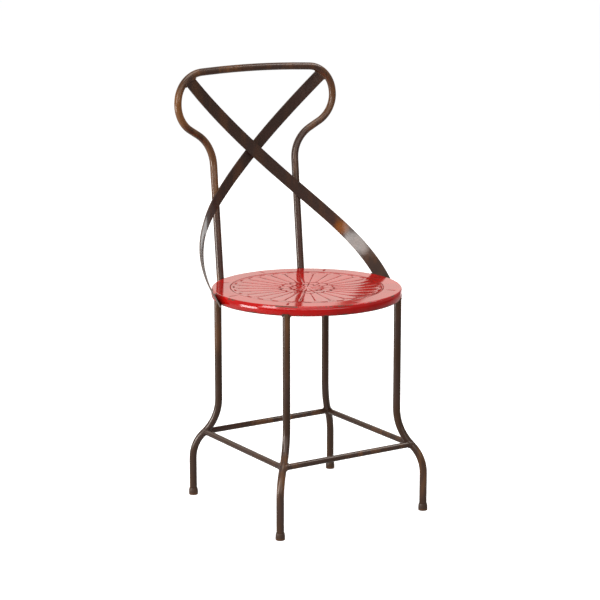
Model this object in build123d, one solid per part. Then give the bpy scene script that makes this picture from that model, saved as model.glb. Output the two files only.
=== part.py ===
from build123d import *
import math
import os

os.makedirs("parts", exist_ok=True)

# A welded dining chair, in millimetres. +Z is up, the chair faces -Y, and left is -X as seen from the front.
# The pieces are built about the seat's axis and shifted at export, so that the origin lies on the floor
# under the middle of the whole chair.

# Seat
SEAT_TOP = 450.0            # rim band above the floor
SEAT_R = 191.2              # outside of the rolled rim
RIM_HEIGHT = 20.4           # from the band to the rim's underside
RIM_EDGE_R = 3.0            # tight upper edge
RIM_FOOT_R = 5.0            # lower edge
RIM_BULGE = 19.0            # degrees the side turns out of upright, up and down, as it bulges
RIM_LIP = 15.0              # turned-in lip, from the seat's edge
SEAT_SHEET = 1.2            # sheet thickness
BAND_W = 39.2               # from the seat's edge in to the pressed field
FIELD_STEP = 1.6            # depth of the step down into the field
FIELD_STEP_RUN = 4.0        # width of that step
FIELD_DISH = 2.2            # depth of the field's middle below its edge
RING_CLEAR = 0.15           # ring to sheet
RING_WALL = 1.5             # wall of the ring's tube
RING_BUTT = 0.5             # degrees left open where the ring's ends butt, at the back

# Legs
TUBE_R = 7.5                # outside radius of the leg and hoop tube
TUBE_WALL = 1.5
LEG_INSET = 7.013           # the upper leg's middle line inside the seat's edge
LEG_KNEE_R = 105.0          # bend radii of the S-bend, on the tube's middle line
LEG_ANKLE_R = 79.0
LEG_SWEEP = 44.122          # degrees the S-bend sweeps outwards
LEG_SLANT = 5.67            # straight left between its two bends
LEG_ANKLE_Z = 109.7         # height of the corner of the lower bend

# Foot caps
CAP_HEIGHT = 14.0
CAP_WALL = 0.8              # wall at the cap's top edge
CAP_FLARE = 1.0             # the foot is this much wider in radius than the top edge
CAP_SOLE = 3.0              # floor of the socket above the ground
CAP_CLEAR = 0.1             # socket to tube
CAP_FOOT_ROUND = 1.2

# Stretchers
BAR_R = 6.0
BAR_LIFT = 1.582            # above the middle of the legs' slant

# Back hoop
HOOP_GAP = 1.2              # hoop tube to rim, at the rim's widest height
HOOP_DROP = 10.0            # ends of the uprights below the rim's middle
HOOP_IN = 93.6              # uprights inside the seat's edge
HOOP_LEAN = 5.75            # degrees the uprights lean back
NECK_UP = 269.5             # corner of the necks above the seat
NECK_R = 73.0               # bend radii on the tube's middle line
EAR_R = 62.5
EAR_OVER = 0.605            # widest point of the ears outside the seat's edge
TOP_CORNER_R = 59.0
NECK_SWEEP = 59.138         # degrees from upright, from neck to ear
EAR_TILT = 7.002            # degrees from upright, from ear to top corner
EAR_RUN = 2.574             # straight left between the ear's bend and the top corner's
TOP_SLOPE = 3.096           # degrees the top bar rises to its middle
TOP_RUN = 20.17             # straight left between the top corner's bend and the crown's
EAR_BACK = 13.146           # depth of the ears, top corners and crown behind the foot of the uprights
TOP_CORNER_BACK = 13.946
TOP_MID_BACK = 16.946

# Flat bars of the back
FLAT_W = 25.4
FLAT_T = 3.0
FLAT_GAP = 0.1              # bar to rim
FLAT_CLEAR = 0.393          # bar behind to the upright that it passes
FLAT_CROSS_GAP = 4.4        # between the two bars where they cross
FLAT_FLARE = 5.73           # degrees the bars' lower ends splay out, as seen from above
FLAT_BEND_R = 156.9         # bend round the rear corner of the seat
FLAT_BOW_R = 388.6          # wide bow across the back
FLAT_TWIST = 41.3           # degrees the upper edge leans out abreast of the seat's axis
FLAT_TWIST_RUN = 178.9      # length over which the bar straightens up again
FLAT_DROP = 42.2            # middle of the bar below the seat, abreast of the seat's axis
FLAT_EASE = 0.908           # share of the climb that is even; the rest steepens towards the top
FLAT_RAISE = 2.4            # lower ends of the bars above the rim's underside
FLAT_END_IN = 8.024         # upper end of the bar inside the top corner, below it and in front of it
FLAT_END_DROP = 2.994
FLAT_END_FORE = 1.318

# Welds
WELD_GAP = 0.1              # left between parts that meet in a weld
WELD = 1.8                  # leg of the weld beads
WELD_SKIN = 0.04            # bead to part
TACK_R = 5.0                # tack plugs between the flat bars and what lies behind them

RIM_FOOT = SEAT_TOP - RIM_HEIGHT
RIM_MID_Z = SEAT_TOP - RIM_HEIGHT / 2
RIM_TURN = math.radians(RIM_BULGE)
RIM_SIDE_R = ((RIM_HEIGHT - RIM_EDGE_R - RIM_FOOT_R) / math.sin(RIM_TURN) + RIM_EDGE_R + RIM_FOOT_R) / 2
RIM_SIDE_Z = SEAT_TOP - RIM_EDGE_R - (RIM_SIDE_R - RIM_EDGE_R) * math.sin(RIM_TURN)
RING_R = RIM_HEIGHT / 2 - SEAT_SHEET - RING_CLEAR
RING_MID_R = SEAT_R - SEAT_SHEET - RING_CLEAR - RING_R
FIELD_R = SEAT_R - BAND_W

# Corners of the legs' middle line, from its bends
LEG_TURN = math.radians(LEG_SWEEP)
ANKLE_REACH = LEG_ANKLE_R * math.tan(LEG_TURN / 2)
KNEE_REACH = LEG_KNEE_R * math.tan(LEG_TURN / 2)
LEG_SLOPE = ANKLE_REACH + LEG_SLANT + KNEE_REACH
LEG_IN = (SEAT_R - LEG_INSET) / math.sqrt(2)
LEG_OUT = LEG_IN + LEG_SLOPE * math.sin(LEG_TURN) / math.sqrt(2)
LEG_KNEE_Z = LEG_ANKLE_Z + LEG_SLOPE * math.cos(LEG_TURN)
LEG_TOP = RIM_FOOT + RIM_FOOT_R
BAR_Z = LEG_ANKLE_Z + (ANKLE_REACH + LEG_SLANT / 2) * math.cos(LEG_TURN) + BAR_LIFT
CAP_NECK_R = TUBE_R + CAP_CLEAR + CAP_WALL
CAP_R = CAP_NECK_R + CAP_FLARE

# Corners of the hoop's middle line, from its bends
NECK_TURN = math.radians(NECK_SWEEP)
EAR_LEAN = math.radians(EAR_TILT)
TOP_RISE = math.radians(TOP_SLOPE)
EAR_REACH = EAR_R * math.tan((NECK_TURN + EAR_LEAN) / 2)
CORNER_REACH = TOP_CORNER_R * math.tan((math.pi / 2 - EAR_LEAN - TOP_RISE) / 2)
EAR_SLOPE = EAR_REACH + EAR_RUN + CORNER_REACH
HOOP_HALF = SEAT_R - HOOP_IN
HOOP_Y = math.sqrt((SEAT_R + HOOP_GAP + TUBE_R) ** 2 - HOOP_HALF**2)
NECK_Z = SEAT_TOP + NECK_UP
EAR_WIDE = SEAT_R + EAR_OVER - TUBE_R
EAR_X = EAR_WIDE + EAR_REACH * math.sin(EAR_LEAN) - EAR_R * (1 - math.cos(EAR_LEAN))
EAR_Z = NECK_Z + (EAR_X - HOOP_HALF) / math.tan(NECK_TURN)
TOP_CORNER_X = EAR_X - EAR_SLOPE * math.sin(EAR_LEAN)
TOP_CORNER_Z = EAR_Z + EAR_SLOPE * math.cos(EAR_LEAN)
TOP_MID_Z = TOP_CORNER_Z + TOP_CORNER_X * math.tan(TOP_RISE)
TOP_MID_R = (TOP_CORNER_X / math.cos(TOP_RISE) - CORNER_REACH - TOP_RUN) / math.tan(TOP_RISE)

# Ends of the flat bars' middle line
FLAT_SPLAY = math.radians(FLAT_FLARE)
FLAT_X = SEAT_R + FLAT_GAP + FLAT_T / 2
FLAT_BEND_X = FLAT_X - FLAT_BEND_R
FLAT_Z = SEAT_TOP - FLAT_DROP
FLAT_END_X = FLAT_END_IN - TOP_CORNER_X
FLAT_END_Y = HOOP_Y + TOP_CORNER_BACK - FLAT_END_FORE
FLAT_END_Z = TOP_CORNER_Z - FLAT_END_DROP
FLAT_STEP = FLAT_T + FLAT_CROSS_GAP


def tube_path(points, radii):
    """Straight runs through the points, joined by tangent bends."""
    return FilletPolyline(*points, radius=radii)


def round_sweep(path, radius):
    """A solid round bar along a path."""
    start = Plane(path @ 0, z_dir=path % 0)
    return sweep(start * Circle(radius), path=path)


def tube(path, wall, radius):
    """A hollow tube, open at both ends."""
    return round_sweep(path, radius) - round_sweep(path, radius - wall)


def main_solid(shape):
    """The largest solid of a cut shape."""
    return max(shape.solids(), key=lambda s: s.volume)


def rz(radius, z):
    return Vector(radius, 0, z)


def side_arc(centre, radius, start, end):
    """Arc in the seat's section about a centre, from start to end in radians above the outward direction."""
    ends = []
    for a in (start, (start + end) / 2, end):
        ends.append(centre + rz(radius * math.cos(a), radius * math.sin(a)))
    return Edge.make_three_point_arc(*ends)


def rim_side(extra=0.0):
    """The rim's section outside, made larger by extra: upper edge, bulging side and lower edge."""
    up = math.pi / 2
    side = rz(SEAT_R - RIM_SIDE_R, RIM_SIDE_Z)
    to_edge = RIM_SIDE_R - RIM_EDGE_R
    to_foot = RIM_SIDE_R - RIM_FOOT_R
    edge = side + rz(to_edge * math.cos(RIM_TURN), to_edge * math.sin(RIM_TURN))
    foot = side + rz(to_foot * math.cos(RIM_TURN), -to_foot * math.sin(RIM_TURN))
    return [
        side_arc(edge, RIM_EDGE_R + extra, up, RIM_TURN),
        side_arc(side, RIM_SIDE_R + extra, RIM_TURN, -RIM_TURN),
        side_arc(foot, RIM_FOOT_R + extra, -RIM_TURN, -up),
    ]


def rim_round(extra=0.0):
    """The rolled rim as a full ring, made larger by extra."""
    side = rim_side(extra)
    inside = RING_MID_R - RING_R - extra
    top = side[0] @ 0
    foot = side[-1] @ 1
    edges = side + [
        Edge.make_line(foot, rz(inside, foot.Z)),
        Edge.make_line(rz(inside, foot.Z), rz(inside, top.Z)),
        Edge.make_line(rz(inside, top.Z), top),
    ]
    return revolve(Face(Wire(edges)), Axis.Z)


def seat_pan():
    """Pressed disc: dished field, step, flat band and an edge rolled round the ring."""
    t = SEAT_SHEET
    outer = rim_side()
    inner = rim_side(-t)
    lip = SEAT_R - RIM_LIP
    field = FIELD_R - FIELD_STEP_RUN
    low = SEAT_TOP - FIELD_STEP
    middle = low - FIELD_DISH
    ball = (field**2 + (low - middle) ** 2) / (2 * (low - middle))
    half = middle + ball - math.sqrt(ball**2 - field**2 / 4)
    edges = [
        Edge.make_three_point_arc(rz(0, middle), rz(field / 2, half), rz(field, low)),
        Edge.make_line(rz(field, low), rz(FIELD_R, SEAT_TOP)),
        Edge.make_line(rz(FIELD_R, SEAT_TOP), outer[0] @ 0),
        *outer,
        Edge.make_line(outer[-1] @ 1, rz(lip, RIM_FOOT)),
        Edge.make_line(rz(lip, RIM_FOOT), rz(lip, RIM_FOOT + t)),
        Edge.make_line(rz(lip, RIM_FOOT + t), inner[-1] @ 1),
        *inner,
        Edge.make_line(inner[0] @ 0, rz(FIELD_R, SEAT_TOP - t)),
        Edge.make_line(rz(FIELD_R, SEAT_TOP - t), rz(field, low - t)),
        Edge.make_three_point_arc(rz(field, low - t), rz(field / 2, half - t), rz(0, middle - t)),
        Edge.make_line(rz(0, middle - t), rz(0, middle)),
    ]
    return revolve(Face(Wire(edges)), Axis.Z)


def seat_ring():
    """Tube bent to a ring inside the rolled rim, its ends butting at the back."""
    section = Plane.XZ * Pos(RING_MID_R, RIM_MID_Z) * (Circle(RING_R) - Circle(RING_R - RING_WALL))
    ring = revolve(section, Axis.Z, revolution_arc=360.0 - RING_BUTT)
    return Rot(0, 0, 90.0 + RING_BUTT / 2) * ring


def leg_path():
    """Middle line of the front right leg."""
    points = [
        (LEG_IN, -LEG_IN, LEG_TOP),
        (LEG_IN, -LEG_IN, LEG_KNEE_Z),
        (LEG_OUT, -LEG_OUT, LEG_ANKLE_Z),
        (LEG_OUT, -LEG_OUT, CAP_SOLE),
    ]
    return tube_path(points, [LEG_KNEE_R, LEG_ANKLE_R])


def leg():
    """Bent tube, coped at its top to sit under the rolled rim."""
    return main_solid(tube(leg_path(), TUBE_WALL, TUBE_R) - rim_round(WELD_GAP))


def leg_round(extra=0.0):
    """The leg without its bore, made larger by extra."""
    return round_sweep(leg_path(), TUBE_R + extra)


def foot_cap():
    """Bell-shaped ferrule with a blind socket, standing on the floor."""
    r = CAP_FOOT_ROUND
    socket = TUBE_R + CAP_CLEAR
    shoulder = rz(CAP_R - (CAP_R - CAP_NECK_R) * 0.25, CAP_HEIGHT * 0.72)
    edges = [
        Edge.make_line(rz(0, 0), rz(CAP_R - r, 0)),
        Edge.make_three_point_arc(
            rz(CAP_R - r, 0),
            rz(CAP_R - r + r * math.sin(math.pi / 4), r - r * math.cos(math.pi / 4)),
            rz(CAP_R, r),
        ),
        Edge.make_line(rz(CAP_R, r), rz(CAP_R, CAP_HEIGHT * 0.45)),
        Edge.make_three_point_arc(rz(CAP_R, CAP_HEIGHT * 0.45), shoulder, rz(CAP_NECK_R, CAP_HEIGHT)),
        Edge.make_line(rz(CAP_NECK_R, CAP_HEIGHT), rz(socket, CAP_HEIGHT)),
        Edge.make_line(rz(socket, CAP_HEIGHT), rz(socket, CAP_SOLE)),
        Edge.make_line(rz(socket, CAP_SOLE), rz(0, CAP_SOLE)),
        Edge.make_line(rz(0, CAP_SOLE), rz(0, 0)),
    ]
    return Pos(LEG_OUT, -LEG_OUT, 0) * revolve(Face(Wire(edges)), Axis.Z)


def bar_reach():
    """x and y of the leg's middle line at the stretchers' height."""
    share = (LEG_KNEE_Z - BAR_Z) / (LEG_KNEE_Z - LEG_ANKLE_Z)
    return LEG_IN + share * (LEG_OUT - LEG_IN)


def front_bar_round(extra=0.0):
    reach = bar_reach()
    return Pos(0, -reach, BAR_Z) * Rot(0, 90, 0) * Cylinder(BAR_R + extra, 2 * reach)


def right_bar_round(extra=0.0):
    reach = bar_reach()
    return Pos(reach, 0, BAR_Z) * Rot(90, 0, 0) * Cylinder(BAR_R + extra, 2 * reach)


def four(shape):
    """A front right shape and its mirror images: front left, rear right, rear left."""
    return shape, mirror(shape, about=Plane.YZ), mirror(shape, about=Plane.XZ), Rot(0, 0, 180) * shape


def upright_y(z):
    """Depth of the uprights' middle line at a height."""
    return HOOP_Y + (z - RIM_MID_Z) * math.tan(math.radians(HOOP_LEAN))


def hoop_path():
    """Middle line of the back hoop, from the left foot over the top to the right foot."""
    foot = RIM_MID_Z - HOOP_DROP
    right = [
        (HOOP_HALF, upright_y(foot), foot),
        (HOOP_HALF, upright_y(NECK_Z), NECK_Z),
        (EAR_X, HOOP_Y + EAR_BACK, EAR_Z),
        (TOP_CORNER_X, HOOP_Y + TOP_CORNER_BACK, TOP_CORNER_Z),
    ]
    left = [(-x, y, z) for x, y, z in right]
    points = left + [(0, HOOP_Y + TOP_MID_BACK, TOP_MID_Z)] + right[::-1]
    bends = [NECK_R, EAR_R, TOP_CORNER_R]
    return tube_path(points, bends + [TOP_MID_R] + bends[::-1])


def flat_angles(run):
    """Plan angles, in radians, where the bar's bend passes into its bow and where the bow ends.

    The angles are taken in the plan turned by the flare, in which the lower end runs straight back for the length run.
    The bow's circle lies outside the bend's, touches it where one passes into the other, and goes through the bar's
    upper end.
    """
    wider = FLAT_BOW_R - FLAT_BEND_R
    end_x, end_y = turn_plan(FLAT_END_X, FLAT_END_Y, FLAT_SPLAY)
    dx = end_x - FLAT_BEND_X
    dy = end_y - run
    far = math.hypot(dx, dy)
    ahead = (FLAT_BOW_R**2 - wider**2 - far**2) / (2 * wider)
    bend = math.atan2(dy, dx) - math.acos(ahead / far)
    end = math.atan2(dy + wider * math.sin(bend), dx + wider * math.cos(bend))
    return bend, end


def turn_plan(x, y, angle):
    """A plan point turned about the seat's axis."""
    return x * math.cos(angle) - y * math.sin(angle), x * math.sin(angle) + y * math.cos(angle)


def flat_length(run):
    """Length of the bar in plan, from abreast of the seat's axis to its upper end."""
    bend, end = flat_angles(run)
    return run + FLAT_BEND_R * bend + FLAT_BOW_R * (end - bend)


def flat_point(s, run):
    """Plan place and plan angle of the bar's middle line at a length s behind the seat's axis."""
    bend = flat_angles(run)[0]
    wider = FLAT_BOW_R - FLAT_BEND_R
    if s < run:
        turn = 0.0
        x, y = FLAT_X, s
    elif s < run + FLAT_BEND_R * bend:
        turn = (s - run) / FLAT_BEND_R
        x = FLAT_BEND_X + FLAT_BEND_R * math.cos(turn)
        y = run + FLAT_BEND_R * math.sin(turn)
    else:
        turn = bend + (s - run - FLAT_BEND_R * bend) / FLAT_BOW_R
        x = FLAT_BEND_X - wider * math.cos(bend) + FLAT_BOW_R * math.cos(turn)
        y = run - wider * math.sin(bend) + FLAT_BOW_R * math.sin(turn)
    x, y = turn_plan(x, y, -FLAT_SPLAY)
    return x, y, turn - FLAT_SPLAY


def flat_climb(s, run):
    """Height and slope of the bar's middle line at a length s behind the seat's axis."""
    length = flat_length(run)
    climb = FLAT_END_Z - FLAT_Z
    q = s / length
    height = FLAT_Z + climb * (FLAT_EASE * q + (1 - FLAT_EASE) * q * q)
    return height, climb / length * (FLAT_EASE + 2 * (1 - FLAT_EASE) * q)


def halve(low, high, test):
    """Where a test that holds at low and fails at high turns over."""
    for _ in range(60):
        middle = (low + high) / 2
        if test(middle):
            low = middle
        else:
            high = middle
    return low


def flat_middle(x, run):
    """Depth, height and plan angle of the bar's middle line where it passes x on its way across the back."""
    s = halve(run, flat_length(run), lambda length: flat_point(length, run)[0] > x)
    y, turn = flat_point(s, run)[1:]
    return y, flat_climb(s, run)[0], turn


def upright_room(run):
    """Room between the bar and the upright that it passes."""
    y, z, turn = flat_middle(HOOP_HALF, run)
    return (upright_y(z) - y) * math.sin(turn) - TUBE_R - FLAT_T / 2


def flat_run():
    """Straight run along the seat's side that leaves FLAT_CLEAR at the upright."""
    return halve(0.0, HOOP_Y, lambda run: upright_room(run) > FLAT_CLEAR)


FLAT_RUN = flat_run()


def flat_half(slope, wide):
    """Half the upright height of a sloping bar's face."""
    return wide / 2 * math.sqrt(1 + slope * slope)


def flat_tail():
    """Length past the seat's axis at which the whole bar lies under the rim, and a little more."""
    z, slope = flat_climb(0, FLAT_RUN)
    return (z + flat_half(slope, FLAT_W + 2 * WELD) - RIM_FOOT) / slope + FLAT_T


def flat_bar(thick=FLAT_T, wide=FLAT_W):
    """A flat bar rolled round the seat's rear corner while it climbs to the far corner of the hoop.

    Sections square to the plan curve, each as high as the sloping bar is there and leaning as the bar twists, are
    joined in a loft.
    """
    tail = flat_tail()
    length = flat_length(FLAT_RUN)
    count = round((length + tail) / FLAT_W * 2)
    sections = []
    for i in range(count + 1):
        s = (length + tail) * i / count - tail
        x, y, turn = flat_point(s, FLAT_RUN)
        z, slope = flat_climb(s, FLAT_RUN)
        lean = FLAT_TWIST * max(0.0, 1 - s / FLAT_TWIST_RUN)
        ahead = Vector(-math.sin(turn), math.cos(turn), 0)
        place = Plane(origin=(x, y, z), x_dir=ahead.cross(Vector(0, 0, 1)), z_dir=ahead)
        sections.append(place * Rot(0, 0, lean) * Rectangle(thick, 2 * flat_half(slope, wide)))
    return loft(sections)


def front_flat(shape):
    return Pos(0, -FLAT_STEP, 0) * shape


def rear_flat(shape):
    return mirror(shape, about=Plane.YZ)


def flat_limits():
    """Room for the flat bars: from beside the rim's underside up to the middle line of the hoop's top."""
    foot = RIM_FOOT + FLAT_RAISE
    wide = SEAT_R + EAR_X
    right = [(TOP_CORNER_X, TOP_CORNER_Z), (EAR_X, EAR_Z), (wide, EAR_Z)]
    left = [(-x, z) for x, z in right[::-1]]
    crown = FilletPolyline(*left, (0, TOP_MID_Z), *right, radius=[0, TOP_CORNER_R, 0, TOP_CORNER_R, 0])
    base = Polyline((wide, EAR_Z), (wide, foot), (-wide, foot), (-wide, EAR_Z))
    face = make_face(Plane.XZ * (crown + base))
    return extrude(face, amount=wide, both=True)


def trim_flat(bar, hoop_round, rim_ring):
    """End the bar at the hoop's tube and beside the rim's underside, and fit it to the rim."""
    return main_solid((bar & flat_limits()) - hoop_round - rim_ring)


def tack(x, z, y0, y1, cuts):
    """Plug of weld from depth y0 to y1, less the parts that it joins."""
    plug = Pos(x, (y0 + y1) / 2, z) * Rot(90, 0, 0) * Cylinder(TACK_R, y1 - y0)
    for cut in cuts:
        plug = plug - cut
    return main_solid(plug)


def corner_weld():
    """Bead round the ends of the two stretchers that meet the front right leg."""
    thick = front_bar_round(WELD) + right_bar_round(WELD)
    bead = (leg_round(WELD) & thick) - leg_round(WELD_SKIN)
    return main_solid(bead - front_bar_round(WELD_SKIN) - right_bar_round(WELD_SKIN))


def group(shapes):
    solids = []
    for shape in shapes:
        solids.extend(shape.solids())
    return Compound(solids)


nodes = {}

# Seat
nodes["seat_pan"] = seat_pan()
nodes["seat_ring"] = seat_ring()

# Legs, foot caps and stretchers
corners = ["front_right", "front_left", "rear_right", "rear_left"]
one_leg = leg()
for corner, shape in zip(corners, four(one_leg)):
    nodes["leg_" + corner] = shape
for corner, shape in zip(corners, four(foot_cap())):
    nodes["foot_cap_" + corner] = shape
leg_cuts = four(leg_round(WELD_GAP))
front_bar = main_solid(front_bar_round() - leg_cuts[0] - leg_cuts[1])
right_bar = main_solid(right_bar_round() - leg_cuts[0] - leg_cuts[2])
nodes["stretcher_front"] = front_bar
nodes["stretcher_rear"] = mirror(front_bar, about=Plane.XZ)
nodes["stretcher_right"] = right_bar
nodes["stretcher_left"] = mirror(right_bar, about=Plane.YZ)

# Back
hoop_line = hoop_path()
hoop_solid = round_sweep(hoop_line, TUBE_R)
nodes["back_hoop"] = hoop_solid - round_sweep(hoop_line, TUBE_R - TUBE_WALL)
hoop_cut = round_sweep(hoop_line, TUBE_R + WELD_GAP)
plain_bar = flat_bar()
rim_cut = rim_round(WELD_GAP)
nodes["back_bar_front"] = trim_flat(front_flat(plain_bar), hoop_cut, rim_cut)
nodes["back_bar_rear"] = trim_flat(rear_flat(plain_bar), hoop_cut, rim_cut)

# Weld beads and tacks
rim = rim_round(WELD_SKIN)
rim_thick = rim_round(WELD)
nodes["weld_stretchers"] = group(four(corner_weld()))
leg_bead = main_solid((leg_round(WELD) & rim_thick) - leg_round(WELD_SKIN) - rim)
nodes["weld_leg_tops"] = group(four(leg_bead))
hoop_skin = round_sweep(hoop_line, TUBE_R + WELD_SKIN)
hoop_thick = round_sweep(hoop_line, TUBE_R + WELD)
nodes["weld_hoop_feet"] = group([(hoop_thick & rim_thick) - hoop_skin - rim])
skin_bar = flat_bar(FLAT_T + 2 * WELD_SKIN, FLAT_W + 2 * WELD_SKIN)
thick_bar = flat_bar(FLAT_T + 2 * WELD, FLAT_W + 2 * WELD)
top_beads = []
seat_beads = []
for place in (front_flat, rear_flat):
    thick = trim_flat(place(thick_bar), hoop_skin, rim)
    skin = place(skin_bar)
    tops = ((thick & hoop_thick) - skin).solids()
    top_beads.append(max(tops, key=lambda s: s.center().Z))
    seat_beads.append(main_solid((thick & rim_thick) - skin))
nodes["weld_bar_tops"] = group(top_beads)
nodes["weld_bar_ends"] = group(seat_beads)
cross_y, cross_z, cross_turn = flat_middle(0, FLAT_RUN)
side_y, side_z, side_turn = flat_middle(HOOP_HALF, FLAT_RUN)
post_y = upright_y(side_z)
front_skin = front_flat(skin_bar)
rear_skin = rear_flat(skin_bar)
nodes["weld_bar_tacks"] = group([
    tack(0, cross_z, cross_y - FLAT_STEP, cross_y, [front_skin, rear_skin]),
    tack(HOOP_HALF, side_z, side_y - FLAT_STEP, post_y, [front_skin, hoop_skin]),
    tack(-HOOP_HALF, side_z, side_y, post_y, [rear_skin, hoop_skin]),
])

# The origin lies under the middle of the chair: half-way between the seat's front and the hoop's back
hoop_back = nodes["back_hoop"].bounding_box().max.Y
shift = Pos(0, (SEAT_R - hoop_back) / 2, 0)

if __name__ == "__main__":
    for name, shape in nodes.items():
        export_step(shift * shape, "parts/" + name + ".step")
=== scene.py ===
"""Looks of a welded dining chair: a red pressed seat on a bronze-brown tube frame, in a plain pale studio."""

import logging
import math
from dataclasses import dataclass, field
from enum import Enum
from typing import Any

import bpy
import numpy as np
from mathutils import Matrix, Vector

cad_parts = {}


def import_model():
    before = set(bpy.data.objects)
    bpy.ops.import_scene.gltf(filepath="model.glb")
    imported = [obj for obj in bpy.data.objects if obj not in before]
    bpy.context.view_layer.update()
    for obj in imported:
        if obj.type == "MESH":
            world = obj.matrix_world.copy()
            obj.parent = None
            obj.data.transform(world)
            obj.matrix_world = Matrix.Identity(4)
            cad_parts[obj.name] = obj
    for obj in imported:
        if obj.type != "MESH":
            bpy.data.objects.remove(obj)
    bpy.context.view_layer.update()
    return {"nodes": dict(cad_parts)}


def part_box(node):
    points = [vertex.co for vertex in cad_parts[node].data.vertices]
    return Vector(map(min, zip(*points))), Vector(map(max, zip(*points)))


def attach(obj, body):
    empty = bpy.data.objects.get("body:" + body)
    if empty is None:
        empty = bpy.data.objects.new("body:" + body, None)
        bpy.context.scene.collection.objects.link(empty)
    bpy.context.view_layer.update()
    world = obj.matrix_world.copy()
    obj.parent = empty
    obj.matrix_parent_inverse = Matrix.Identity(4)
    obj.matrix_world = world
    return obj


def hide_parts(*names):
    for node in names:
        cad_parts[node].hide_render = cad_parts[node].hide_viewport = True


LOG = logging.getLogger("chair")
TURN = 2.0 * math.pi

Colour = tuple[float, float, float]
Point = tuple[float, float, float]
Pair = tuple[float, float]
Span = tuple[float, float, int]
Array = np.ndarray

WHITE: Colour = (1.0, 1.0, 1.0)


class Slot(Enum):
    """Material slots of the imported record."""

    SEAT = "seat_lacquer"
    FRAME = "frame_bronze"
    RING = "ring_steel"
    CAP = "foot_cap"
    WELD = "weld"


class Stretch(Enum):
    """How a noise pattern is stretched: the scale along X, Y and Z."""

    EVEN = (1.0, 1.0, 1.0)
    UPRIGHT = (1.0, 1.0, 0.14)


@dataclass(frozen=True)
class Pattern:
    """A noise pattern cut to a mask.

    The scale is in cells per metre, detail counts the octaves, low and high are the noise values where the
    mask starts and is full, and rough is the share of the finer octaves.
    """

    scale: float
    detail: float
    low: float
    high: float
    rough: float = 0.55
    stretch: Stretch = Stretch.EVEN


@dataclass(frozen=True)
class Grain:
    """A fine unevenness of a surface: cells per metre, octaves, depth in metres and share of the effect."""

    scale: float
    detail: float
    depth: float
    strength: float


def smooth_step(low: Array | float, high: Array | float, x: Array) -> Array:
    """Cubic step from 0 at low to 1 at high: t^2 (3 - 2 t) with t the clipped share of the way.

    Args:
        low: Where the step starts.
        high: Where the step ends.
        x: Values to step.

    Returns:
        The step, shaped as x.
    """
    t = np.clip((x - low) / (np.asarray(high) - low), 0.0, 1.0)
    return t * t * (3.0 - 2.0 * t)


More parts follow.
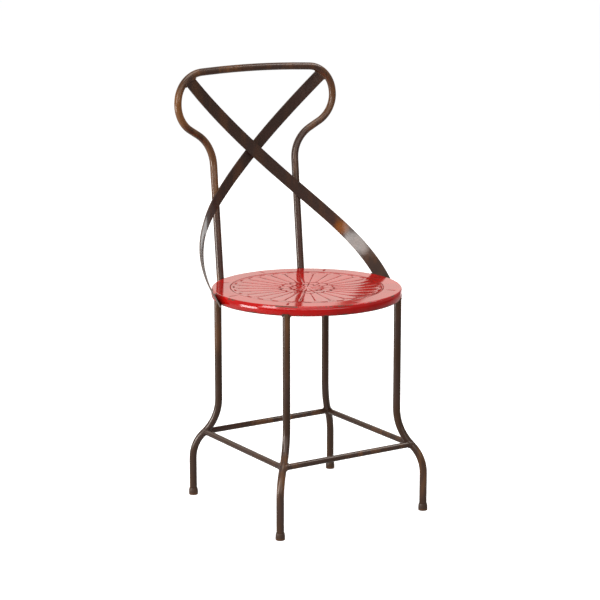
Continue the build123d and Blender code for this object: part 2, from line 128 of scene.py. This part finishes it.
class NodeGraph:
    """A material's nodes, added with few words."""

    def __init__(self, name: str) -> None:
        """Start an empty material that ends in a Principled shader.

        Args:
            name: The material's name.
        """
        self.material = bpy.data.materials.new(name)
        self.material.use_nodes = True
        self.tree = self.material.node_tree
        self.tree.nodes.clear()
        self.output = self.tree.nodes.new("ShaderNodeOutputMaterial")
        self.shader = self.tree.nodes.new("ShaderNodeBsdfPrincipled")
        self.link(self.shader.outputs["BSDF"], self.output.inputs["Surface"])

    def link(self, source: Any, target: Any) -> None:
        """Join two sockets."""
        self.tree.links.new(source, target)

    def add(self, kind: str, settings: dict[str, Any] | None = None, **inputs: Any) -> Any:
        """Add a node, set its properties and fill its inputs with values or links.

        Args:
            kind: The node's Blender type, without its ShaderNode prefix.
            settings: Properties of the node itself.
            inputs: Input sockets by name, with spaces written as underscores.

        Returns:
            The new node.
        """
        node = self.tree.nodes.new("ShaderNode" + kind)
        for key, value in (settings or {}).items():
            setattr(node, key, value)
        for key, value in inputs.items():
            self.put(node.inputs[key.replace("_", " ")], value)
        return node

    def put(self, socket: Any, value: Any) -> None:
        """Set a socket to a number or colour, or link it to another socket.

        Args:
            socket: The input to fill.
            value: A number, a colour, a vector or an output socket.
        """
        if isinstance(value, bpy.types.NodeSocket):
            self.link(value, socket)
        elif isinstance(value, tuple) and len(value) == 3 and socket.type == "RGBA":
            socket.default_value = (*value, 1.0)
        else:
            socket.default_value = value

    def place(self) -> Any:
        """Object coordinates, in metres."""
        return self.add("TexCoord").outputs["Object"]

    def noise(self, scale: float, detail: float, rough: float = 0.55, stretch: Stretch = Stretch.EVEN) -> Any:
        """A noise value from about 0.3 to 0.7.

        Args:
            scale: Cells per metre.
            detail: Octaves.
            rough: Share of the finer octaves.
            stretch: Which way the pattern runs.

        Returns:
            The noise's value socket.
        """
        spot = self.place()
        if stretch is not Stretch.EVEN:
            spot = self.add("Mapping", Vector=spot, Scale=stretch.value).outputs["Vector"]
        return self.add("TexNoise", Vector=spot, Scale=scale, Detail=detail, Roughness=rough).outputs["Fac"]

    def ramp(self, value: Any, low: float, high: float, to_low: float = 0.0, to_high: float = 1.0) -> Any:
        """A clipped smooth map of a value.

        Args:
            value: The socket to map.
            low: Value that becomes to_low.
            high: Value that becomes to_high.
            to_low: Result at low.
            to_high: Result at high.

        Returns:
            The mapped value's socket.
        """
        node = self.add("MapRange", {"clamp": True, "interpolation_type": "SMOOTHSTEP"})
        self.put(node.inputs["Value"], value)
        for key, number in zip(("From Min", "From Max", "To Min", "To Max"), (low, high, to_low, to_high)):
            node.inputs[key].default_value = number
        return node.outputs["Result"]

    def mask(self, pattern: Pattern, to_low: float = 0.0, to_high: float = 1.0) -> Any:
        """A noise pattern as a mask.

        Args:
            pattern: The pattern and where it is cut.
            to_low: Result at the pattern's low value.
            to_high: Result at its high value.

        Returns:
            The mask's socket.
        """
        value = self.noise(pattern.scale, pattern.detail, pattern.rough, pattern.stretch)
        return self.ramp(value, pattern.low, pattern.high, to_low, to_high)

    def near(self, point: Point, inner: float, outer: float) -> Any:
        """A mask round a point: 1 within the inner distance, fading to 0 at the outer one.

        Args:
            point: The middle, in metres.
            inner: Distance that is wholly inside.
            outer: Distance where the mask ends.

        Returns:
            The mask's socket.
        """
        gap = self.add("VectorMath", {"operation": "DISTANCE"})
        self.put(gap.inputs[0], self.place())
        self.put(gap.inputs[1], point)
        return self.ramp(gap.outputs["Value"], inner, outer, 1.0, 0.0)

    def math(self, operation: str, first: Any, second: Any = 0.0) -> Any:
        """One sum of two values.

        Args:
            operation: Blender's name of the sum, such as MULTIPLY.
            first: A number or a socket.
            second: Another one, unused where the sum takes only one.

        Returns:
            The result's socket.
        """
        node = self.add("Math", {"operation": operation})
        self.put(node.inputs[0], first)
        self.put(node.inputs[1], second)
        return node.outputs["Value"]

    def blend(self, share: Any, first: Any, second: Any) -> Any:
        """A mix of two colours.

        Args:
            share: Share of the second colour, from 0 to 1.
            first: A colour or a socket.
            second: Another one.

        Returns:
            The mixed colour's socket.
        """
        node = self.add("Mix", {"data_type": "RGBA"})
        self.put(node.inputs["Factor"], share)
        self.put(node.inputs["A"], first)
        self.put(node.inputs["B"], second)
        return node.outputs["Result"]

    def roughen(self, grain: Grain) -> None:
        """Make the surface uneven by a fine noise.

        Args:
            grain: The unevenness.
        """
        height = self.noise(grain.scale, grain.detail)
        node = self.add("Bump", Height=height, Distance=grain.depth, Strength=grain.strength)
        self.link(node.outputs["Normal"], self.shader.inputs["Normal"])

    def set(self, **inputs: Any) -> None:
        """Fill the shader's inputs, with spaces written as underscores."""
        for key, value in inputs.items():
            self.put(self.shader.inputs[key.replace("_", " ")], value)


@dataclass(frozen=True)
class HeatTint:
    """A spot where the patina has turned to copper, or to amber where it was hot. At the ears the copper is
    partly painted highlight.
    """

    point: Point
    inner: float
    outer: float
    share: float
    hot: bool = True


@dataclass(frozen=True)
class BronzeFinish:
    """Dark bronze-brown patina under a thin lacquer, with copper rubbed through."""

    name: str
    dark: Colour = (0.060, 0.030, 0.018)
    plum: Colour = (0.066, 0.037, 0.029)
    copper: Colour = (0.24, 0.100, 0.034)
    amber: Colour = (0.26, 0.085, 0.010)
    sheen: Colour = (1.0, 0.90, 0.81)
    specular: float = 0.6
    copper_share: float = 0.6
    roughness: Pair = (0.16, 0.24)
    worn_foot: float = 0.0
    worn_share: float = 0.35
    tints: tuple[HeatTint, ...] = ()
    drift: Pattern = Pattern(9.0, 2.0, 0.40, 0.62)
    streak: Pattern = Pattern(46.0, 3.0, 0.42, 0.66, stretch=Stretch.UPRIGHT)
    patch: Pattern = Pattern(5.0, 1.0, 0.42, 0.62)
    gloss: Pattern = Pattern(60.0, 3.0, 0.35, 0.65)
    grain: Grain = Grain(300.0, 2.0, 0.0002, 0.02)

    def build(self) -> bpy.types.Material:
        """Make the material.

        Returns:
            A brown coat that drifts to plum, with soft streaks of copper, tinted spots and, below the height
            worn_foot, worn copper.
        """
        graph = NodeGraph(self.name)
        drift = graph.mask(self.drift)
        streak = graph.mask(self.streak, 0.0, self.copper_share)
        patch = graph.mask(self.patch)
        coat = graph.blend(drift, self.dark, self.plum)
        colour = graph.blend(graph.math("MULTIPLY", streak, patch), coat, self.copper)
        # Tinted spots; the ones at the ears are partly painted highlight.
        for tint in self.tints:
            spot = graph.math("MULTIPLY", graph.near(tint.point, tint.inner, tint.outer), tint.share)
            colour = graph.blend(spot, colour, self.amber if tint.hot else self.copper)
        if self.worn_foot:
            height = graph.add("SeparateXYZ", Vector=graph.place()).outputs["Z"]
            low = graph.ramp(height, self.worn_foot / 2, self.worn_foot, self.worn_share, 0.0)
            colour = graph.blend(low, colour, self.copper)
        rough = graph.mask(self.gloss, *self.roughness)
        graph.set(Base_Color=colour, Roughness=rough)
        graph.set(Specular_IOR_Level=self.specular, Specular_Tint=self.sheen)
        graph.roughen(self.grain)
        return graph.material


@dataclass(frozen=True)
class LacquerFinish:
    """High-gloss red lacquer, darker in the pressed lines and chipped along the rim.

    The upper chips keep to the outermost millimetres, setting in over edge_in inside the rim's radius. From
    the rim's top down they set in over upper_in and end over upper_out. The lower ones set in over lower_in
    above its foot.
    """

    name: str
    axis: Pair
    rim_radius: float
    rim_top: float
    rim_height: float
    red: Colour = (0.60, 0.004, 0.003)
    deep: Colour = (0.20, 0.006, 0.005)
    chip: Colour = (0.10, 0.042, 0.018)
    specular: float = 0.7
    roughness: Pair = (0.10, 0.60)
    line_dull: float = 0.15
    cloud_share: float = 0.25
    edge_in: Pair = (0.0045, 0.0030)
    upper_in: Pair = (0.0001, 0.0006)
    upper_out: Pair = (0.0016, 0.0030)
    lower_in: Pair = (0.0050, 0.0020)
    cloud: Pattern = Pattern(14.0, 3.0, 0.40, 0.64)
    worn: Pattern = Pattern(26.0, 5.0, 0.50, 0.56, rough=0.68)
    ragged: Pattern = Pattern(60.0, 5.0, 0.42, 0.60, rough=0.7)
    grain: Grain = Grain(160.0, 2.0, 0.0003, 0.10)

    def chips(self, graph: NodeGraph) -> Any:
        """Where the lacquer has chipped: noise, kept to two bands near the rim's upper and lower edges.

        Args:
            graph: The material's nodes.

        Returns:
            A socket from 0, whole, to 1, bare.
        """
        spot = graph.add("SeparateXYZ", Vector=graph.place())
        dx = graph.math("SUBTRACT", spot.outputs["X"], self.axis[0])
        dy = graph.math("SUBTRACT", spot.outputs["Y"], self.axis[1])
        square = graph.math("ADD", graph.math("MULTIPLY", dx, dx), graph.math("MULTIPLY", dy, dy))
        reach = graph.math("SQRT", square)
        edge = graph.ramp(reach, *(self.rim_radius - inside for inside in self.edge_in))
        drop = graph.math("SUBTRACT", self.rim_top, spot.outputs["Z"])
        below = graph.ramp(drop, *self.upper_in)
        above = graph.ramp(drop, *self.upper_out, 1.0, 0.0)
        upper = graph.math("MULTIPLY", graph.math("MULTIPLY", below, above), edge)
        lower = graph.ramp(drop, *(self.rim_height - rise for rise in self.lower_in))
        upper = graph.math("MULTIPLY", upper, graph.mask(self.worn))
        lower = graph.math("MULTIPLY", lower, graph.mask(self.ragged))
        return graph.math("MAXIMUM", upper, lower)

    def build(self) -> bpy.types.Material:
        """Make the material.

        Returns:
            Red lacquer that reads the seat's own crease attribute.
        """
        graph = NodeGraph(self.name)
        line = graph.add("Attribute", {"attribute_name": "crease"}).outputs["Fac"]
        wear = self.chips(graph)
        cloud = graph.math("MULTIPLY", graph.mask(self.cloud), self.cloud_share)
        red = graph.blend(cloud, self.red, self.deep)
        colour = graph.blend(wear, graph.blend(line, red, self.deep), self.chip)
        dull = graph.math("MAXIMUM", graph.math("MULTIPLY", line, self.line_dull), wear)
        graph.set(Base_Color=colour, Roughness=graph.ramp(dull, 0.0, 1.0, *self.roughness))
        graph.set(Specular_IOR_Level=self.specular)
        graph.roughen(self.grain)
        return graph.material


@dataclass(frozen=True)
class CreaseFinish:
    """Dull, darkened lacquer at the bottom of the pressed lines."""

    name: str
    deep: Colour = (0.40, 0.012, 0.008)
    browner_red: Colour = (0.18, 0.014, 0.009)
    specular: float = 0.05
    roughness: Pair = (0.6, 0.9)
    blotches: Pattern = Pattern(45.0, 3.0, 0.42, 0.62)
    grain: Grain = Grain(300.0, 2.0, 0.0002, 0.2)

    def build(self) -> bpy.types.Material:
        """Make the material.

        Returns:
            Dark red, darker and browner in patches.
        """
        graph = NodeGraph(self.name)
        blotches = graph.mask(self.blotches)
        graph.set(Base_Color=graph.blend(blotches, self.deep, self.browner_red), Specular_IOR_Level=self.specular)
        graph.set(Roughness=graph.ramp(blotches, 0.0, 1.0, *self.roughness))
        graph.roughen(self.grain)
        return graph.material


@dataclass(frozen=True)
class SteelFinish:
    """Drawn steel tube, unpainted, with a light bloom of rust."""

    name: str
    steel: Colour = (0.30, 0.29, 0.27)
    rust: Colour = (0.13, 0.052, 0.022)
    rust_share: float = 0.6
    metallic: float = 0.8
    roughness: Pair = (0.38, 0.75)
    bloom: Pattern = Pattern(38.0, 4.0, 0.50, 0.68)
    grain: Grain = Grain(300.0, 2.0, 0.0002, 0.2)

    def build(self) -> bpy.types.Material:
        """Make the material.

        Returns:
            Steel with rust in patches, duller where it has rusted.
        """
        graph = NodeGraph(self.name)
        bloom = graph.mask(self.bloom, 0.0, self.rust_share)
        graph.set(Base_Color=graph.blend(bloom, self.steel, self.rust), Metallic=self.metallic)
        graph.set(Roughness=graph.ramp(bloom, 0.0, self.rust_share, *self.roughness))
        graph.roughen(self.grain)
        return graph.material


@dataclass(frozen=True)
class Band:
    """A range of radii with soft ends: it sets in from start to full and fades out from fade to end."""

    start: float
    full: float
    fade: float
    end: float

    def mask(self, r: Array) -> Array:
        """The range as 1 inside and 0 outside."""
        return smooth_step(self.start, self.full, r) * (1.0 - smooth_step(self.fade, self.end, r))


@dataclass(frozen=True)
class Line:
    """A pressed line: its width, how dark it is, and the range of radii that it keeps to, if any."""

    width: float
    dark: float
    band: Band | None = None

    def mask(self, distance: Array, r: Array) -> Array:
        """The line as exp(-(d / w)^2), with d the distance from it and w its width.

        Args:
            distance: Distance from the line.
            r: Radius.

        Returns:
            1 on the line, falling to 0 beside it.
        """
        soft = np.exp(-((distance / self.width) ** 2))
        return soft if self.band is None else soft * self.band.mask(r)


@dataclass(frozen=True)
class Rosette:
    """The ornament pressed into the seat: radii and widths as shares of the seat's, relief in metres."""

    petals: int = 28
    florets: int = 14
    marks: int = 8
    relief: float = 0.0004
    petal_height: float = 0.55
    floret_height: float = 0.8
    line_depth: float = 0.8
    soft_depth: float = 0.5
    petal_root: Pair = (0.20, 0.26)
    petal_tip: float = 0.768
    petal_fade: float = 0.02
    petal_round: float = 0.070
    groove_radius: float = 0.800
    lobe_radius: float = 0.290
    outline_radius: float = 0.180
    lobe_round: float = 0.045
    floret_root: Pair = (0.035, 0.06)
    floret_tip: Pair = (0.165, 0.180)
    floret_round: float = 0.04
    seed_edge: Pair = (0.025, 0.040)
    spoke_edge: Pair = (0.80, 0.98)
    spoke_dark: float = 0.9
    spoke_band: Band = Band(0.04, 0.06, 0.22, 0.25)
    crease: Line = Line(0.0042, 0.85, Band(0.26, 0.30, 0.68, 0.71))
    dash: Line = Line(0.0080, 0.90, Band(0.585, 0.615, 0.68, 0.70))
    mark: Line = Line(0.0070, 1.00, Band(0.835, 0.855, 0.935, 0.955))
    groove: Line = Line(0.0065, 0.95)
    scallop: Line = Line(0.0085, 0.80)
    lobe: Line = Line(0.0110, 0.80)
    outline: Line = Line(0.0110, 0.90)

    def across(self, a: Array, count: int) -> Array:
        """Place across one of count equal shares of the turn, from -1 at one side to 1 at the other."""
        return 2.0 * np.mod(a * count / TURN, 1.0) - 1.0

    def shape(self, r: Array, a: Array) -> tuple[Array, Array]:
        """Relief of the rosette and its pressed lines.

        Each long petal is a low round flute: 1 - p^2 across, with p from -1 to 1 over the petal's share of
        the turn, out to a rounded tip whose radius falls off as p^2. Thin creases part the petals and end in
        short dashes, a scalloped line follows the tips, and a groove circle runs outside them. In the middle
        lies a floret of small petals, 1 - q^2 across, parted by spokes, with an outline and a lobed ring
        whose radii fall off as q^2. Short marks cross the rim band.

        Args:
            r: Radius over the seat's radius.
            a: Angle in radians.

        Returns:
            Height in metres and line strength from 0 to 1.
        """
        p = self.across(a, self.petals)
        q = self.across(a, self.florets)
        side = (1.0 - np.abs(p)) * r * math.pi / self.petals
        tip = self.petal_tip - self.petal_round * p * p
        fall = self.lobe_round * q * q
        notch = np.abs(np.mod(a * self.marks / TURN + 0.5, 1.0) - 0.5) * (TURN / self.marks) * r
        sharp = (
            (self.crease, side),
            (self.dash, side),
            (self.groove, r - self.groove_radius),
            (self.mark, notch),
        )
        soft = (
            (self.scallop, r - tip),
            (self.lobe, r - self.lobe_radius + fall),
            (self.outline, r - self.outline_radius + fall),
        )
        petal = smooth_step(*self.petal_root, r) * (1.0 - smooth_step(tip - self.petal_fade, tip, r))
        near, far = (radius - self.floret_round * q * q for radius in self.floret_tip)
        floret = smooth_step(*self.floret_root, r) * (1.0 - smooth_step(near, far, r))
        seed = 1.0 - smooth_step(*self.seed_edge, r)
        height = self.petal_height * petal * (1.0 - p * p)
        height = height + self.floret_height * (floret * (1.0 - q * q) + seed)
        height = height - self.line_depth * np.maximum.reduce([line.mask(gap, r) for line, gap in sharp])
        height = height - self.soft_depth * sum(line.mask(gap, r) for line, gap in soft)
        spoke = smooth_step(*self.spoke_edge, np.abs(q)) * self.spoke_band.mask(r)
        lines = [line.dark * line.mask(gap, r) for line, gap in sharp + soft]
        strength = np.maximum.reduce([*lines, self.spoke_dark * spoke])
        return self.relief * height, np.clip(strength, 0.0, 1.0)


@dataclass
class SeatPan:
    """Pressed sheet disc with a turned-down rim and a rosette in low relief, in place of the plain CAD dish.

    The rings of points lie over ring_spans, each a first radius, a last one and a count, and then over
    band_span, which ends its second value short of the rim's edge. The underside has one ring to under_every
    of the top's.
    """

    node: str = "seat_pan"
    edge_round: float = 0.003
    foot_round: float = 0.005
    bulge: float = math.radians(19.0)
    lip: float = 0.015
    sheet: float = 0.0012
    field_radius: float = 0.152
    step: float = 0.0008
    step_run: float = 0.004
    dish: float = 0.0030
    crease_from: float = 0.35
    arc_points: tuple[int, int, int] = (12, 18, 10)
    ring_spans: tuple[Span, ...] = ((0.0015, 0.058, 44), (0.0605, 0.108, 16), (0.110, 0.156, 46))
    band_span: Span = (0.158, 0.0005, 12)
    under_every: int = 5
    petal_spread: tuple[float, ...] = (0.035, 0.12, 0.40, 0.68, 0.85, 0.92, 0.965)
    rosette: Rosette = Rosette()
    centre: Pair = field(init=False)
    top: float = field(init=False)
    radius: float = field(init=False)
    height: float = field(init=False)

    def __post_init__(self) -> None:
        """Take the place and size from the CAD node."""
        low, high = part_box(self.node)
        self.centre = ((low[0] + high[0]) / 2, (low[1] + high[1]) / 2)
        self.top = high[2]
        self.radius = (high[0] - low[0]) / 2
        self.height = high[2] - low[2]

    def rim_side(self, extra: float = 0.0) -> tuple[Array, Array]:
        """The rim's section outside, as three arcs that run into each other: upper edge, side, lower edge.

        A point of an arc is its centre plus its radius times (cos t, sin t). The side's radius is the one at
        which the three arcs make up the rim's height, and the other two centres lie on the side's last radii.

        Args:
            extra: How far the section stands outside the rim, or inside it where negative.

        Returns:
            Radius and height of the points, the height below the rim band.
        """
        edge, foot, turn = self.edge_round, self.foot_round, self.bulge
        side = ((self.height - edge - foot) / math.sin(turn) + edge + foot) / 2
        middle = (self.radius - side, -edge - (side - edge) * math.sin(turn))
        above, beside, below = self.arc_points
        arcs = (
            (edge, side - edge, turn, np.linspace(math.pi / 2, turn, above)),
            (side, 0.0, 0.0, np.linspace(turn, -turn, beside)[1:-1]),
            (foot, side - foot, -turn, np.linspace(-turn, -math.pi / 2, below)),
        )
        r = [middle[0] + away * math.cos(lean) + (size + extra) * np.cos(t) for size, away, lean, t in arcs]
        z = [middle[1] + away * math.sin(lean) + (size + extra) * np.sin(t) for size, away, lean, t in arcs]
        return np.concatenate(r), np.concatenate(z)

    def dish_height(self, r: Array) -> Array:
        """Height of the plain pressing below the rim band at radius r.

        The field is a ball of radius (f^2 + h^2) / 2h, where f is its radius and h its depth, and a straight
        step joins it to the rim band.

        Args:
            r: Radius in metres.

        Returns:
            Height in metres, from minus the dish's depth up to 0.
        """
        f = self.field_radius - self.step_run
        h = self.dish - self.step
        ball = (f * f + h * h) / (2 * h)
        bowl = -self.dish + ball - np.sqrt(np.maximum(ball * ball - r * r, 0.0))
        ramp = -self.step + (r - f) / self.step_run * self.step
        return np.where(r < f, bowl, np.where(r < self.field_radius, ramp, 0.0))

    def angles(self) -> Array:
        """Angles of the points round each ring, closer together at the creases and on the petals' middles.

        Returns:
            Angles in radians, rising over one turn.
        """
        petals = self.rosette.petals
        half = np.array(self.petal_spread)
        share = (np.concatenate([[-1.0], -half[::-1], half]) + 1.0) / 2.0
        return ((np.arange(petals)[:, None] + share[None, :]) * TURN / petals).ravel()

    def build(self) -> bpy.types.Object:
        """Work out the whole sheet as rings round the seat's axis, from the top's middle to the middle below.

        Returns:
            The seat as one closed mesh with a crease attribute.
        """
        out_r, out_z = self.rim_side()
        in_r, in_z = self.rim_side(-self.sheet)
        start, gap, count = self.band_span
        spans = (*self.ring_spans, (start, out_r[0] - gap, count))
        top_r = np.concatenate([np.linspace(*span) for span in spans])
        under_r = top_r[::-1][1 :: self.under_every]
        under_z = self.dish_height(under_r) - self.sheet
        lip_r = np.full(2, self.radius - self.lip)
        lip_z = np.array([-self.height, self.sheet - self.height])
        r = np.concatenate([top_r, out_r, lip_r, in_r[::-1], under_r])[:, None]
        z = np.concatenate([self.dish_height(top_r), out_z, lip_z, in_z[::-1], under_z])[:, None]
        pressed = np.zeros_like(r)
        pressed[: len(top_r)] = 1.0
        pressed[-len(under_r) :] = 1.0
        a = self.angles()[None, :]
        lift, crease = self.rosette.shape(r / self.radius * np.ones_like(a), a * np.ones_like(r))
        points = np.stack([
            self.centre[0] + r * np.cos(a),
            self.centre[1] + r * np.sin(a),
            self.top + np.minimum(z + lift * pressed, 0.0),
        ], axis=-1)
        pole = self.top - self.dish + self.rosette.relief
        poles = np.array([[*self.centre, pole], [*self.centre, pole - self.sheet]])
        strength = np.append((crease * pressed).ravel(), [0.0, 0.0])
        return self.mesh(np.vstack([points.reshape(-1, 3), poles]), crease.shape, strength)

    def mesh(self, points: Array, shape: tuple[int, int], crease: Array) -> bpy.types.Object:
        """Join rings and two poles into a closed mesh.

        Args:
            points: Ring points, row by row, then the upper and the lower pole.
            shape: Rings and points round each.
            crease: Crease strength of each point.

        Returns:
            The seat's object.
        """
        rows, around = shape
        i = np.arange(rows - 1)[:, None] * around
        j = np.arange(around)[None, :]
        k = (j + 1) % around
        quads = np.stack([i + j, i + around + j, i + around + k, i + k], axis=-1).reshape(-1, 4)
        upper, lower = len(points) - 2, len(points) - 1
        j, k = j.ravel(), k.ravel()
        last = (rows - 1) * around
        crown = np.stack([np.full(around, upper), j, k], axis=1)
        base = np.stack([np.full(around, lower), last + k, last + j], axis=1)
        fans = np.vstack([crown, base])
        mesh = bpy.data.meshes.new("seat_relief")
        mesh.from_pydata(points.tolist(), [], quads.tolist() + fans.tolist())
        mesh.attributes.new("crease", "FLOAT", "POINT").data.foreach_set("value", crease.astype(np.float32))
        lines = np.append(crease[quads].mean(axis=1) > self.crease_from, np.zeros(len(fans), dtype=bool))
        mesh.polygons.foreach_set("material_index", lines.astype(np.int32))
        mesh.polygons.foreach_set("use_smooth", np.ones(len(mesh.polygons), dtype=bool))
        mesh.update()
        seat = bpy.data.objects.new("seat_relief", mesh)
        bpy.context.scene.collection.objects.link(seat)
        return seat

    def dress(self, seat: bpy.types.Object) -> None:
        """Lacquer the seat and put it in place of the CAD dish.

        Args:
            seat: The seat's object.
        """
        finish = LacquerFinish("seat_lacquer", self.centre, self.radius, self.top, self.height)
        seat.data.materials.append(finish.build())
        seat.data.materials.append(CreaseFinish("seat_crease").build())
        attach(seat, "root")
        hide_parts(self.node)
        LOG.info("seat: %d faces", len(seat.data.polygons))


AMBER_SPOT = HeatTint((0.165, 0.1135, 0.537), 0.006, 0.022, 0.95)
# Ear spots: partly copper wear, partly painted highlight that brightens the ears where the lamps glint, most
# on the left ear, which faces them.
LEFT_EAR_COPPER_AND_HIGHLIGHT = HeatTint((-0.186, 0.190, 0.795), 0.025, 0.060, 0.85, hot=False)
RIGHT_EAR_COPPER_AND_HIGHLIGHT = HeatTint((0.186, 0.190, 0.795), 0.025, 0.060, 0.40, hot=False)

TUBE_BRONZE = BronzeFinish("frame_bronze", tints=(AMBER_SPOT, LEFT_EAR_COPPER_AND_HIGHLIGHT, RIGHT_EAR_COPPER_AND_HIGHLIGHT))
BAR_BRONZE = BronzeFinish(
    "bar_bronze",
    dark=(0.055, 0.034, 0.026),
    sheen=(1.0, 0.95, 0.92),
    copper_share=0.2,
    roughness=(0.12, 0.18),
    tints=(AMBER_SPOT,),
)
CAP_BRONZE = BronzeFinish("cap_bronze", copper_share=0.3, roughness=(0.30, 0.45), worn_foot=0.005)
WELD_BRONZE = BronzeFinish("weld_bronze", roughness=(0.30, 0.48), grain=Grain(300.0, 2.0, 0.0025, 0.02))
RING_STEEL = SteelFinish("ring_steel")


@dataclass
class TubeFrame:
    """The legs, stretchers, hoop, flat bars, caps, welds and seat ring: CAD nodes that only take a finish."""

    nodes: dict[str, bpy.types.Object]
    replaced: str

    def choose(self, name: str) -> tuple[Slot, BronzeFinish | SteelFinish]:
        """The slot and finish of a node, by the first words of its name.

        Args:
            name: The CAD node's name.

        Returns:
            The material slot and the finish.
        """
        if name.startswith("back_bar"):
            return Slot.FRAME, BAR_BRONZE
        words = {
            "foot": (Slot.CAP, CAP_BRONZE),
            "weld": (Slot.WELD, WELD_BRONZE),
            "seat": (Slot.RING, RING_STEEL),
        }
        return words.get(name.split("_")[0], (Slot.FRAME, TUBE_BRONZE))

    def dress(self) -> None:
        """Give each CAD node its finish, apart from the one that is replaced."""
        finishes = (TUBE_BRONZE, BAR_BRONZE, CAP_BRONZE, WELD_BRONZE, RING_STEEL)
        made = {finish.name: finish.build() for finish in finishes}
        for name, node in self.nodes.items():
            if name == self.replaced:
                continue
            slot, finish = self.choose(name)
            node.data.materials.clear()
            node.data.materials.append(made[finish.name])
            LOG.info("%s takes %s", name, slot.value)


@dataclass(frozen=True)
class Lamp:
    """A soft rectangular lamp: middle and size in metres, and its face's glow, where 1 is a white wall."""

    name: str
    place: Point
    size: Pair
    glow: float
    tone: Colour = WHITE

    def hang(self, aim: Point) -> None:
        """Put the lamp in the scene.

        Args:
            aim: The point that it faces.
        """
        data = bpy.data.lights.new(self.name, "AREA")
        data.shape = "RECTANGLE"
        data.size, data.size_y = self.size
        data.color = self.tone
        data.energy = self.glow * math.pi * self.size[0] * self.size[1]
        lamp = bpy.data.objects.new(self.name, data)
        lamp.location = self.place
        lamp.rotation_euler = (Vector(aim) - Vector(self.place)).to_track_quat("-Z", "Y").to_euler()
        bpy.context.scene.collection.objects.link(lamp)


@dataclass
class Studio:
    """A floor and surround that the camera sees as white, soft lamps and the camera."""

    eye: Point = (-2.0219, -3.1465, 1.2210)
    target: Point = (-0.0115, -0.0008, 0.4223)
    lens: float = 114.48
    sight: float = 200.0
    floor_size: float = 60.0
    floor_tone: Colour = (0.9, 0.9, 0.9)
    floor_glow: float = 0.78
    floor_rough: float = 0.9
    # Floor colour that the metal sees: painted shade in front, painted light behind, blended along Y.
    painted_falloff_run: Pair = (-0.9, 0.7)
    painted_shade_near: Colour = (0.20, 0.20, 0.20)
    painted_light_far: Colour = (0.60, 0.60, 0.60)
    fill: float = 0.25
    lamp_aim: Point = (0.0, 0.0, 0.5)
    lamps: tuple[Lamp, ...] = (
        Lamp("left_box", (-2.15, 0.46, 0.25), (0.9, 0.5), 10.0),
        Lamp("left_high", (-2.22, -0.53, 1.13), (0.72, 0.80), 7.0),
        Lamp("right_card", (1.78, 1.42, 0.18), (1.1, 0.34), 1.5),
        Lamp("front_strip_left", (-3.88, -1.59, 0.92), (3.6, 0.36), 2.4),
        Lamp("front_strip_right", (-0.92, -4.09, 0.92), (4.5, 0.36), 2.4),
        Lamp("backdrop", (0.83, 3.9, 1.5), (7.0, 3.0), 0.82, (1.0, 0.90, 0.80)),
        Lamp("front_box", (-2.8, -3.7, 2.9), (7.0, 2.4), 1.0),
        Lamp("top_right", (1.8, -0.6, 2.6), (1.2, 1.2), 5.0),
        Lamp("overhead", (-0.3, -0.3, 3.0), (2.0, 2.0), 2.6, (1.0, 0.95, 0.88)),
    )

    def world(self) -> None:
        """A dim even surround; the camera itself sees plain white."""
        world = bpy.data.worlds.new("surround")
        world.use_nodes = True
        tree = world.node_tree
        tree.nodes.clear()
        path = tree.nodes.new("ShaderNodeLightPath")
        mix = tree.nodes.new("ShaderNodeMixShader")
        out = tree.nodes.new("ShaderNodeOutputWorld")
        tree.links.new(path.outputs["Is Camera Ray"], mix.inputs["Fac"])
        for place, strength in ((1, self.fill), (2, 1.0)):
            light = tree.nodes.new("ShaderNodeBackground")
            light.inputs["Color"].default_value = (*WHITE, 1.0)
            light.inputs["Strength"].default_value = strength
            tree.links.new(light.outputs["Background"], mix.inputs[place])
        tree.links.new(mix.outputs["Shader"], out.inputs["Surface"])
        bpy.context.scene.world = world

    def floor(self) -> None:
        """A wide floor that keeps the chair's shadow: white to the camera; to the metal it shows painted
        shade in front and painted light behind.
        """
        half = self.floor_size / 2
        corners = [(-half, -half, 0), (half, -half, 0), (half, half, 0), (-half, half, 0)]
        mesh = bpy.data.meshes.new("floor")
        mesh.from_pydata(corners, [], [(0, 1, 2, 3)])
        floor = bpy.data.objects.new("floor", mesh)
        bpy.context.scene.collection.objects.link(floor)
        graph = NodeGraph("floor_white")
        seen = graph.add("LightPath").outputs["Is Camera Ray"]
        depth = graph.add("SeparateXYZ", Vector=graph.place()).outputs["Y"]
        # Painted light falloff on the floor: darker in front, where the floor is unlit, lighter behind.
        painted_falloff = graph.blend(graph.ramp(depth, *self.painted_falloff_run), self.painted_shade_near, self.painted_light_far)
        graph.set(Base_Color=graph.blend(seen, painted_falloff, self.floor_tone), Roughness=self.floor_rough)
        graph.set(Specular_IOR_Level=0.0, Emission_Color=WHITE)
        graph.set(Emission_Strength=graph.math("MULTIPLY", seen, self.floor_glow))
        mesh.materials.append(graph.material)

    def camera(self) -> None:
        """The camera at the photograph's viewing angle."""
        data = bpy.data.cameras.new("camera")
        data.lens = self.lens
        data.clip_end = self.sight
        camera = bpy.data.objects.new("camera", data)
        camera.location = self.eye
        aim = Vector(self.target) - Vector(self.eye)
        camera.rotation_euler = aim.to_track_quat("-Z", "Y").to_euler()
        bpy.context.scene.collection.objects.link(camera)
        bpy.context.scene.camera = camera

    def build(self) -> None:
        """Set up the whole studio."""
        bpy.context.scene.view_settings.view_transform = "Standard"
        self.world()
        self.floor()
        for lamp in self.lamps:
            lamp.hang(self.lamp_aim)
        self.camera()


def main() -> None:
    """Load the frame, dress it and light it."""
    logging.basicConfig(level=logging.INFO, format="%(name)s: %(message)s")
    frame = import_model()
    seat = SeatPan()
    seat.dress(seat.build())
    TubeFrame(frame["nodes"], seat.node).dress()
    Studio().build()


if __name__ == "__main__":
    main()
